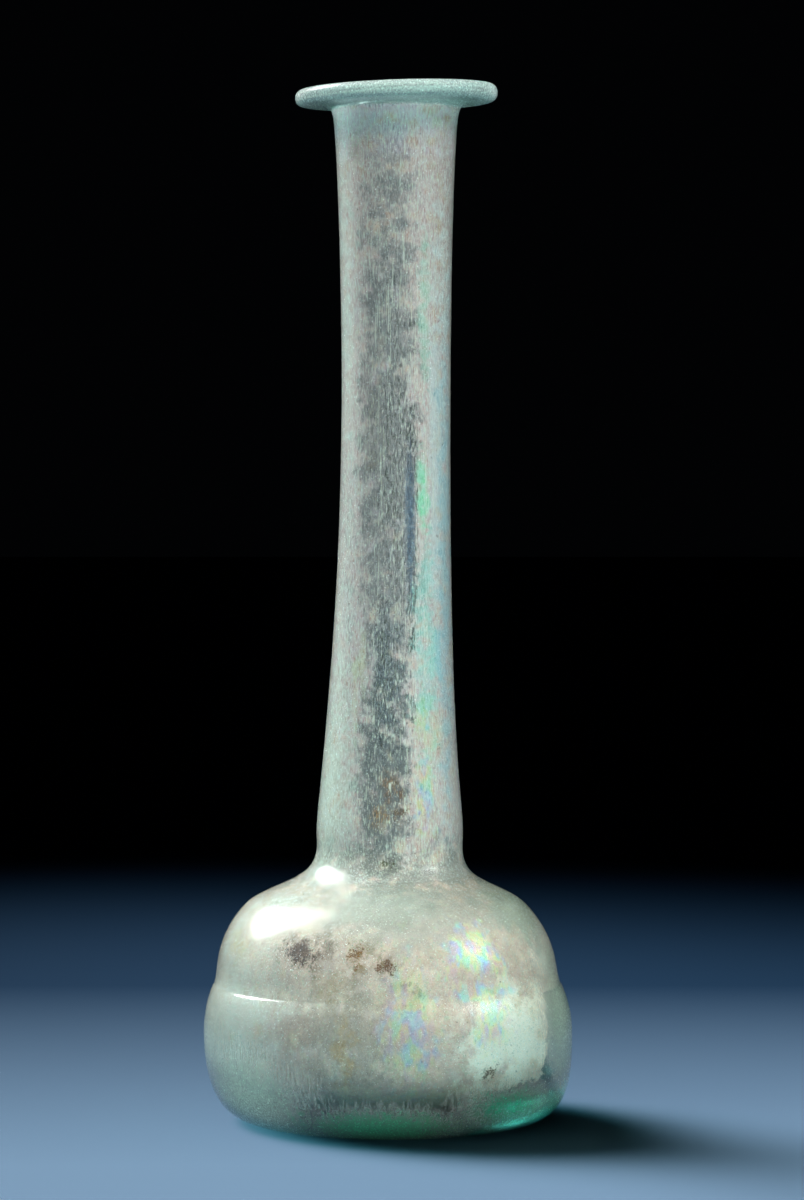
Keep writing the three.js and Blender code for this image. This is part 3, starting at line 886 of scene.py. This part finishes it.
soilLayer = {"cell": 0.7, "refine": 3, "relief": 0.03, "reliefSize": 0.5, "thickness": 0.25,
             "gapAt": lambda at: -0.05}
for place, colours in soilColours.items():
    node = "soil_deposit_" + place
    blot = makePatch(
        "burial_soil_" + place, node,
        nearBox(node, soilShape["spare"]), soilCover(node), soilLayer,
    )
    blot.data.materials.append(soilMaterial("burial soil " + place, colours, soilGrain))

bpy.data.objects.remove(innerWall)


# Floor and lights

studio = {
    # painted shade: the floor's colour darkens towards the back in place of the lamps' light falling off
    "floorNear": "#7e9fbe", "floorPaintedShade": "#1c4060", "floorFade": (-40, 150),  # mm behind the axis
    "floorSize": 6,
    "worldColour": "#20242a",
    "worldStrength": 0.04,
}
lamps = [
    {"name": "key_softbox", "toward": (-0.62, 0.45, 0.64), "away": 0.5, "size": (0.5, 0.34),
     "watts": 0.8, "spread": 40, "aim": (0.01, -0.05, 0.04), "mirrored": True, "flagged": False},
    {"name": "side_softbox", "toward": (0.80, -0.24, 0.56), "away": 0.5, "size": (0.42, 0.5),
     "watts": 0.17, "spread": 38, "aim": (0, 0, 0.08), "mirrored": True, "flagged": True},
    {"name": "front_softbox", "toward": (-0.36, -0.64, 0.66), "away": 1.0, "size": (0.4, 0.2),
     "watts": 0.31, "spread": 22, "aim": (0, -0.07, 0.075), "mirrored": False, "flagged": True},
    {"name": "fill_softbox", "toward": (0.60, -0.52, 0.60), "away": 1.0, "size": (0.3, 0.2),
     "watts": 0.26, "spread": 22, "aim": (0, -0.05, 0.08), "mirrored": False, "flagged": True},
    {"name": "low_card", "toward": (0.1, -0.98, 0.12), "away": 0.6, "size": (0.3, 0.06),
     "watts": 0.028, "spread": 13, "aim": (0.004, -0.02, 0.004), "mirrored": False, "flagged": True},
]


def addFloor(settings):  # paper with painted shade, darker towards the back where the lamps' light would fall off: a matt ground the glass stands out from
    material, tree = newMaterial("matt paper with painted shade")
    back = addNode(tree, "SeparateXYZ", {0: addNode(tree, "TexCoord", out="Object")}, out="Y")
    low, high = settings["floorFade"]
    share = addNode(tree, "MapRange", (back, low * mm, high * mm), out=0)
    near = linear(settings["floorNear"])
    # the painted shade towards the back of the floor
    far = linear(settings["floorPaintedShade"])
    shade = addNode(tree, "Mix", {0: share, 6: near, 7: far}, out=2, data_type="RGBA")
    paper = addNode(tree, "BsdfPrincipled", {
        "Base Color": shade, "Roughness": 0.9, "Specular IOR Level": 0.1,
    }, out=0)
    addNode(tree, "OutputMaterial", {"Surface": paper})
    bpy.ops.mesh.primitive_plane_add(size=settings["floorSize"], location=(0, 0, 0))
    floor = bpy.context.object
    floor.name = "floor"
    floor.data.materials.append(material)


def addLamp(settings, lit):  # a flagged lamp is kept off the floor
    direction = Vector(settings["toward"]).normalized()
    bpy.ops.object.light_add(type="AREA", location=Vector(settings["aim"]) + direction * settings["away"])
    lamp = bpy.context.object
    lamp.name = settings["name"]
    lamp.rotation_euler = direction.to_track_quat("Z", "Y").to_euler()
    lamp.data.shape = "RECTANGLE"
    lamp.data.size, lamp.data.size_y = settings["size"]
    lamp.data.energy = settings["watts"]
    lamp.data.spread = math.radians(settings["spread"])
    lamp.visible_glossy = lamp.visible_transmission = settings["mirrored"]
    if settings["flagged"]:
        lamp.light_linking.receiver_collection = lit


def setWorld(settings):
    world = bpy.data.worlds.new("dark studio")
    world.use_nodes = True
    background = world.node_tree.nodes["Background"]
    background.inputs["Color"].default_value = linear(settings["worldColour"])
    background.inputs["Strength"].default_value = settings["worldStrength"]
    bpy.context.scene.world = world


bpy.context.scene.view_settings.view_transform = "Standard"  # keeps the deep teal of thick glass
addFloor(studio)
setWorld(studio)
bottle = bpy.data.collections.new("bottle")
for piece in bpy.context.scene.objects:
    if piece.type == "MESH" and piece.name != "floor":
        bottle.objects.link(piece)
for lampSettings in lamps:
    addLamp(lampSettings, bottle)
print("studio lit")
